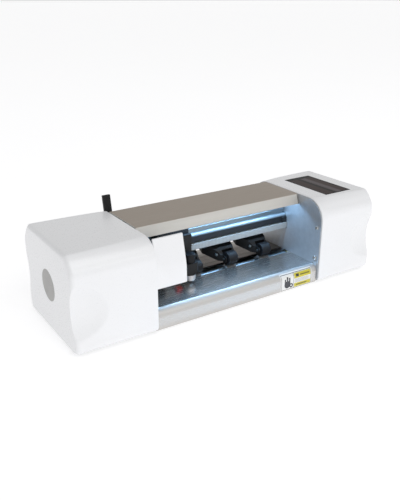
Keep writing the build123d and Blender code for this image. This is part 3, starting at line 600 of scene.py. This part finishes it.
def front_half(bottom, knee_r, knee_z, setback, bulge):
    """One side of the outer profile as (u, z), from the underside's edge up to the crease."""
    points = []
    steep = math.acos(1 - WALL / FOOT_R)
    for i in range(FOOT_STEPS):
        a = steep * (1 - i / (FOOT_STEPS - 1))
        points.append((FOOT_R - FOOT_R * math.cos(a), bottom + FOOT_R - FOOT_R * math.sin(a)))
    low = bottom + FOOT_R
    for i in range(1, WALL_STEPS):
        points.append((0.0, low + (knee_z - low) * i / WALL_STEPS))
    for i in range(ARC_STEPS):
        a = math.radians(45.0 * i / ARC_STEPS)
        points.append((knee_r * (1 - math.cos(a)), knee_z + knee_r * math.sin(a)))
    turn = knee_r * math.sqrt(0.5)
    start = np.array((knee_r - turn, knee_z + turn))
    end = np.array((setback, HOUSING_TOP))
    run = end - start
    length = float(np.hypot(*run))
    normal = np.array((-run[1], run[0])) / length
    shares = [i / ARC_STEPS for i in range(ARC_STEPS)] + [1 - CREASE_NEAR / length]
    for share in shares:
        points.append(tuple(start + share * run + 4 * share * (1 - share) * bulge * normal))
    return points


def outer_loop(s, side, bottom):
    """The whole outer profile as (y, z), front underside edge round to the rear underside edge."""
    profile = profile_at(s, side)
    front = front_half(bottom, *profile)
    crease = profile[2]
    first = crease + CREASE_FAR
    span = 2 * HALF_DEPTH - 2 * first
    tops = [crease + CREASE_NEAR] + [first + span * i / TOP_STEPS for i in range(TOP_STEPS + 1)]
    tops.append(2 * HALF_DEPTH - crease - CREASE_NEAR)
    loop = [(u - HALF_DEPTH, z) for u, z in front]
    loop += [(u - HALF_DEPTH, HOUSING_TOP) for u in tops]
    loop += [(HALF_DEPTH - u, z) for u, z in reversed(front)]
    return np.array(loop)


def inner_loop(bottom, count):
    """The cavity's profile, with as many points as the outer one."""
    r = CAVITY_R
    top = HOUSING_TOP - WALL
    sides = FOOT_STEPS + (WALL_STEPS - 1)
    arcs = 2 * ARC_STEPS + 1
    low = bottom + 3.2
    front = [(WALL, low + (top - r - low) * i / sides) for i in range(sides)]
    for i in range(arcs):
        a = math.radians(90.0 * i / arcs)
        front.append((WALL + r * (1 - math.cos(a)), top - r + r * math.sin(a)))
    across = count - 2 * len(front)
    first = WALL + r
    span = 2 * HALF_DEPTH - 2 * first
    loop = [(u - HALF_DEPTH, z) for u, z in front]
    loop += [(first + span * i / (across - 1) - HALF_DEPTH, top) for i in range(across)]
    loop += [(HALF_DEPTH - u, z) for u, z in reversed(front)]
    return np.array(loop)


def inset_loop(loop, amount):
    """The profile drawn in by an amount towards a point low in its middle, so its foot hardly lifts."""
    half = np.array((HALF_DEPTH, HOUSING_TOP - INSET_Z))
    middle = np.array((0.0, INSET_Z))
    share = np.broadcast_to(amount, len(loop))[:, None] / half
    return middle + (loop - middle) * (1 - share)


def scooped(loop, side, x, grow):
    """The profile at x with the hand grips sunk into its long faces."""
    made = loop.copy()
    long, round_ = GRIP_LONG + grow, GRIP_ROUND + grow
    away = HALF_DEPTH + GRIP_ROUND - GRIP_DEEP
    inner = 1.0 - ((x - side * HALF_LENGTH) / long) ** 2 - ((loop[:, 1] - GRIP_Z) / round_) ** 2
    reach = np.where(inner > 0, np.sqrt(np.maximum(inner, 0.0)) * round_ - away, -1e3)
    near = np.abs(loop[:, 0]) > HALF_DEPTH - 30.0
    depth_in = reach + np.abs(loop[:, 0])
    push = 0.5 * (depth_in + np.sqrt(depth_in ** 2 + SCOOP_BLEND ** 2))
    push = np.where(near & (depth_in > -60.0), push, 0.0)
    made[:, 0] -= np.sign(loop[:, 0]) * push
    return made


def outer_rows(side, inner, edge_in, edge_out, bottom):
    """The outer skin's profiles, from the inner end to the outer end, as (x, y, z) points."""
    rows = []

    def add_row(x, inset):
        """Adds a profile, whose points may each have an x and an inset of their own."""
        middle = float(np.mean(x))
        loop = inset_loop(outer_loop(max(0.0, middle - inner), side, bottom), inset)
        loop = scooped(loop, side, side * middle, 0.0)
        rows.append(np.column_stack((side * np.broadcast_to(x, len(loop)), loop)))

    heights = outer_loop(0.0, side, bottom)[:, 1]
    lift = np.clip((heights - LIP_Z) / (HOUSING_TOP - LIP_Z), 0.0, 1.0) ** 2
    edge = LIP_EDGE + (edge_in - LIP_EDGE) * lift
    for turn in (0.0, 0.25, 0.5, 0.75, 1.0):
        a = math.pi / 2 * turn
        add_row(inner + edge * (1 - math.cos(a)), edge * (1 - math.sin(a)))
    first, last = inner + edge_in, HALF_LENGTH - edge_out
    steps = int((last - first) / ROW_STEP)
    for i in range(1, steps):
        add_row(first + (last - first) * i / steps, 0.0)
    for turn in (0.0, 0.2, 0.4, 0.6, 0.8, 1.0):
        a = math.pi / 2 * turn
        add_row(last + edge_out * math.sin(a), edge_out * (1 - math.cos(a)))
    return rows


def end_cap(points, faces, ring, centre, radius, depth):
    """Closes the outer end with rings that run in to a round recess, and the recess's floor."""
    count = len(ring)
    start = np.array([points[i] for i in ring])
    towards = start[:, 1:] - centre
    towards /= np.linalg.norm(towards, axis=1)[:, None]
    round_edge = centre + radius * towards
    rings = [list(ring)]
    for share in (0.12, 0.4, 0.75, 1.0):
        flat = start[:, 1:] * (1 - share) + round_edge * share
        rings.append(list(range(len(points), len(points) + count)))
        points += [(start[0, 0], y, z) for y, z in flat]
    floor_x = start[0, 0] - math.copysign(depth, start[0, 0])
    if depth:
        rings.append(list(range(len(points), len(points) + count)))
        points += [(floor_x, y, z) for y, z in round_edge]
    for near, far in zip(rings, rings[1:]):
        for i in range(count):
            j = (i + 1) % count
            faces.append((near[i], near[j], far[j], far[i]))
    faces.append(tuple(rings[-1]))


def housing_mesh(name, side, inner, edge_in, edge_out, bottom, recess):
    """A hollow end housing, open towards the bay and underneath."""
    rows = outer_rows(side, inner, edge_in, edge_out, bottom)
    count = len(rows[0])
    hollow = inner_loop(bottom, count)
    inner_rows = []
    for row in rows:
        x = min(max(float(np.mean(np.abs(row[:, 0]))), inner + 0.2), HALF_LENGTH - WALL)
        loop = scooped(hollow, side, side * x, WALL)
        inner_rows.append(np.column_stack((np.full(count, side * x), loop)))
    points = [tuple(p) for row in rows for p in row]
    base = len(points)
    points += [tuple(p) for row in inner_rows for p in row]
    faces = []
    for k in range(len(rows) - 1):
        for i in range(count - 1):
            a = k * count + i
            faces.append((a, a + 1, a + count + 1, a + count))
            faces.append((base + a, base + a + count, base + a + count + 1, base + a + 1))
        for i in (0, count - 1):
            a = k * count + i
            faces.append((a, a + count, base + a + count, base + a))
    for i in range(count - 1):
        faces.append((i, base + i, base + i + 1, i + 1))
    last = (len(rows) - 1) * count
    start, end = rows[-1][-1], rows[-1][0]
    sill = list(range(len(points), len(points) + SILL_STEPS - 1))
    points += [tuple(start + (end - start) * i / SILL_STEPS) for i in range(1, SILL_STEPS)]
    end_cap(points, faces, list(range(last, last + count)) + sill, *recess)
    faces.append(tuple(range(base + last, base + last + count)))
    faces.append((base + last, base + last + count - 1, last + count - 1, *sill, last))
    return mesh_from(name, points, faces)


def left_shell():
    """The left housing, with the sunk place for its badge."""
    low, high = box_mm("left_housing")
    b_low, b_high = box_mm("left_end_badge")
    middle = (b_low + b_high) / 2
    radius = (b_high.y - b_low.y) / 2 + 0.12
    recess = (np.array((middle.y, middle.z)), radius, b_high.x - b_low.x)
    mesh = housing_mesh("left_shell", -1, -high.x, LEFT_INNER_EDGE, OUTER_EDGE, low.z, recess)
    piece = add_piece("left_shell", mesh, "chassis", "white_shell")
    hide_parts("left_housing")
    return piece


def right_shell():
    """The right housing, open for the display, the power inlet and the switch."""
    low, _ = box_mm("right_housing")
    ring = (np.array(RIGHT_RING_CENTRE), RIGHT_RING_R, 0.0)
    mesh = housing_mesh("right_shell", 1, low.x, RIGHT_INNER_EDGE, OUTER_EDGE, low.z, ring)
    piece = add_piece("right_shell", mesh, "chassis", "white_shell")
    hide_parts("right_housing")
    g_low, g_high = box_mm("display_glass")
    gap = Vector((0.12, 0.12, 0.0))
    cut(piece, block_mesh(g_low - gap, g_high + gap + Vector((0, 0, 3.0))))
    ledge = Vector((2.4, 2.4, 0.0))
    cut(piece, block_mesh(g_low + ledge - Vector((0, 0, 6.0)), g_high - ledge + Vector((0, 0, 1.0))))
    i_low, i_high = box_mm("power_inlet")
    middle = (i_low + i_high) / 2
    cut(piece, drum_mesh((middle.x, HALF_DEPTH - 1.0, middle.z), 4.1, 8.0))
    s_low, s_high = box_mm("switch_frame")
    cut(piece, block_mesh((s_low.x - 0.15, HALF_DEPTH - 1.2, s_low.z - 0.15),
                          (s_high.x + 0.15, HALF_DEPTH + 2.0, s_high.z + 0.15)))
    cut(piece, block_mesh((s_low.x + 1.4, HALF_DEPTH - 6.0, s_low.z + 1.3),
                          (s_high.x - 1.4, HALF_DEPTH + 2.0, s_high.z - 1.3)))
    return piece


def smooth_by_angle(piece):
    """Marks the sharper edges, so that shading breaks there."""
    piece.data.shade_smooth()
    piece.data.set_sharp_from_angle(angle=math.radians(40.0))
    weighted = piece.modifiers.new("flats", "WEIGHTED_NORMAL")
    weighted.weight = 90
    weighted.keep_sharp = True


# ---------------------------------------------------------------- small metal parts on the arms

# Each arm's screw: how far left of its roller, behind the front face and above the floor, and its radius.
SCREW_LEFT = 14.6
SCREW_BACK = 67.5
SCREW_Z = 38.8
SCREW_R = 1.9


def dome_screw(name, centre, facing, radius, body):
    """A dome-headed screw with a hexagon socket, seated on a face."""
    build = bmesh.new()
    # Each ring's reach and rise, as shares of the radius.
    rings = [(1.0, 0.0), (1.0, 0.25), (0.94, 0.5), (0.78, 0.72), (0.55, 0.86), (0.42, 0.9)]
    count = 24
    loops = []
    for share, rise in rings:
        loop = []
        for i in range(count):
            a = 2 * math.pi * i / count
            loop.append(build.verts.new((radius * share * math.cos(a), radius * share * math.sin(a),
                                         radius * rise)))
        loops.append(loop)
    hexagon = []
    for depth_share in (0.9, 0.35):
        loop = []
        for i in range(count):
            a = 2 * math.pi * i / count
            side_angle = (a % (math.pi / 3)) - math.pi / 6
            reach = radius * 0.36 / math.cos(side_angle)
            loop.append(build.verts.new((reach * math.cos(a), reach * math.sin(a), radius * depth_share)))
        hexagon.append(loop)
    loops += hexagon
    for below, above in zip(loops, loops[1:]):
        for i in range(count):
            j = (i + 1) % count
            build.faces.new((below[i], below[j], above[j], above[i]))
    build.faces.new(loops[0])
    build.faces.new(loops[-1])
    bmesh.ops.recalc_face_normals(build, faces=build.faces)
    turn = Vector(facing).normalized().to_track_quat("Z", "Y").to_matrix().to_4x4()
    bmesh.ops.transform(build, matrix=Matrix.Translation(Vector(centre)) @ turn, verts=build.verts)
    bmesh.ops.scale(build, vec=(MM, MM, MM), verts=build.verts)
    mesh = bpy.data.meshes.new(name)
    build.to_mesh(mesh)
    build.free()
    mesh.shade_smooth()
    mesh.set_sharp_from_angle(angle=math.radians(35.0))
    return add_piece(name, mesh, body, "ground_steel")


def arm_screws():
    """The screw in each pinch arm's slanted cheek."""
    for number in range(1, 5):
        low, high = box_mm(f"pinch_roller_{number}")
        x = (low.x + high.x) / 2
        place = (x - SCREW_LEFT, SCREW_BACK - HALF_DEPTH, SCREW_Z)
        dome_screw(f"arm_screw_{number}", place, (-1, -1, 0), SCREW_R, f"arm_{number}")


# ---------------------------------------------------------------- floor, light and camera

FLOOR_REACH = 60.0
FLOOR_GLOW = 0.64
# The surround's strength falls from the third value to the fourth as the sky rises from the first to the
# second, and is multiplied by a share that grows likewise from left to right.
SKY_BY_HEIGHT = (0.15, 0.8, 0.79, 0.46)
SKY_BY_SIDE = (-1.0, 0.2, 0.77, 1.0)
KEY_PLACE = (0.1, -1.9, 1.95)
KEY_AIM = (0.0, 0.0, 0.05)
KEY_SIZE = (2.4, 1.6)
KEY_POWER = 23.5
# The glow hangs this far under the lamp bar and starts this far to the right of the carriage's guard.
GLOW_DROP = 0.0012
GLOW_START = 0.012
GLOW_WIDTH = 0.006
GLOW_POWER = 0.15
GLOW_COLOUR = (0.40, 0.67, 1.0)
CAMERA_PLACE = (-0.38077, -0.55879, 0.32396)
CAMERA_TIP = 0.388
CAMERA_TURN = -0.579
LENS_MM = 44.46
SENSOR_MM = 36.0


def make_floor():
    """A wide pale floor that stays almost white."""
    build = bmesh.new()
    bmesh.ops.create_grid(build, x_segments=2, y_segments=2, size=FLOOR_REACH)
    mesh = bpy.data.meshes.new("floor")
    build.to_mesh(mesh)
    build.free()
    floor = bpy.data.objects.new("floor", mesh)
    bpy.context.scene.collection.objects.link(floor)
    g = Graph("pale floor")
    speck = g.noise(3.0, 2.0, 0.5)
    g.set(Base_Color=g.mix(speck, (0.56, 0.56, 0.57), (0.54, 0.54, 0.55)), Roughness=0.9)
    g.set(Emission_Color=(1.0, 1.0, 1.0), Emission_Strength=FLOOR_GLOW)
    mesh.materials.append(g.material)


def make_world():
    """A studio surround: bright near the horizon, dimmer overhead and on the left."""
    world = bpy.data.worlds.new("studio")
    bpy.context.scene.world = world
    world.use_nodes = True
    tree = world.node_tree
    tree.nodes.clear()
    output = tree.nodes.new("ShaderNodeOutputWorld")
    background = tree.nodes.new("ShaderNodeBackground")
    coordinates = tree.nodes.new("ShaderNodeTexCoord")
    split = tree.nodes.new("ShaderNodeSeparateXYZ")
    ramp = tree.nodes.new("ShaderNodeMapRange")
    tree.links.new(coordinates.outputs["Generated"], split.inputs[0])
    tree.links.new(split.outputs[2], ramp.inputs[0])
    for socket, value in zip(list(ramp.inputs)[1:5], SKY_BY_HEIGHT):
        socket.default_value = value
    sideways = tree.nodes.new("ShaderNodeMapRange")
    tree.links.new(split.outputs[0], sideways.inputs[0])
    for socket, value in zip(list(sideways.inputs)[1:5], SKY_BY_SIDE):
        socket.default_value = value
    both = tree.nodes.new("ShaderNodeMath")
    both.operation = "MULTIPLY"
    tree.links.new(ramp.outputs[0], both.inputs[0])
    tree.links.new(sideways.outputs[0], both.inputs[1])
    tree.links.new(both.outputs[0], background.inputs["Strength"])
    background.inputs["Color"].default_value = (1.0, 1.0, 1.0, 1.0)
    tree.links.new(background.outputs[0], output.inputs[0])


def area_light(name, place, target, size, power, colour=(1.0, 1.0, 1.0)):
    """A rectangular light at a place, turned towards a target."""
    data = bpy.data.lights.new(name, "AREA")
    data.shape = "RECTANGLE"
    data.size, data.size_y = size
    data.energy = power
    data.color = colour
    lamp = bpy.data.objects.new(name, data)
    bpy.context.scene.collection.objects.link(lamp)
    lamp.location = place
    aim = Vector(target) - Vector(place)
    lamp.rotation_mode = "QUATERNION"
    lamp.rotation_quaternion = aim.to_track_quat("-Z", "Y")
    return lamp


def make_lights():
    """A broad soft key from the front, and the glow of the lamp bar under the cover."""
    area_light("key", KEY_PLACE, KEY_AIM, KEY_SIZE, KEY_POWER)
    low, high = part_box("led_strip")
    y = (low.y + high.y) / 2
    z = low.z - GLOW_DROP
    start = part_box("carriage_shield")[1].x + GLOW_START
    middle = (start + high.x) / 2
    glow = area_light("bar glow", (middle, y, z), (middle, y - 0.02, z - 0.1), (high.x - start, GLOW_WIDTH),
                      GLOW_POWER, GLOW_COLOUR)
    glow.visible_camera = False


def make_camera():
    """The camera, above the front left, tipped down and turned right towards the machine."""
    data = bpy.data.cameras.new("camera")
    data.sensor_width = SENSOR_MM
    data.lens = LENS_MM
    data.clip_start = 0.01
    data.clip_end = 200.0
    camera = bpy.data.objects.new("camera", data)
    bpy.context.scene.collection.objects.link(camera)
    camera.location = CAMERA_PLACE
    camera.rotation_euler = (math.pi / 2 - CAMERA_TIP, 0.0, CAMERA_TURN)
    bpy.context.scene.camera = camera


# ---------------------------------------------------------------- the scene

MATERIALS = make_materials()

# How wide each node's hard edges are eased, in millimetres.
SOFTEN = {"top_cover": 0.35, "front_deck": 0.25, "rear_deck": 0.25, "left_side_plate": 0.2,
          "right_side_plate": 0.2, "lift_lever": 0.05, "carriage_shield": 0.4, "display_glass": 0.12,
          "left_end_badge": 0.12, "guide_beam": 0.2, "carriage_body": 0.3, "tool_slide": 0.3,
          "lift_solenoid": 0.3, "rail_block": 0.3, "belt_clamp": 0.2, "switch_frame": 0.3,
          "power_rocker": 0.3, "base_plate": 0.2, "beam_brackets": 0.2}


def dress_cad_nodes():
    """Gives every CAD node its slot's material, except the rear deck, which gets the rear sheet with its
    painted shade and light, and eases its hard edges.
    """
    slots = {row["node"]: row["material_slot"] for row in frame["record"]["subparts"]}
    for name, node in NODES.items():
        node.data.materials.clear()
        node.data.materials.append(MATERIALS["rear_sheet" if name == "rear_deck" else slots[name]])
        node.data.shade_smooth()
        soften(node, SOFTEN.get(name, 0.3 if name.startswith("pinch_arm") else 0.1))


dress_cad_nodes()
smooth_by_angle(left_shell())
smooth_by_angle(right_shell())
arm_screws()
make_floor()
make_world()
make_lights()
make_camera()
bpy.context.scene.view_settings.view_transform = "Standard"
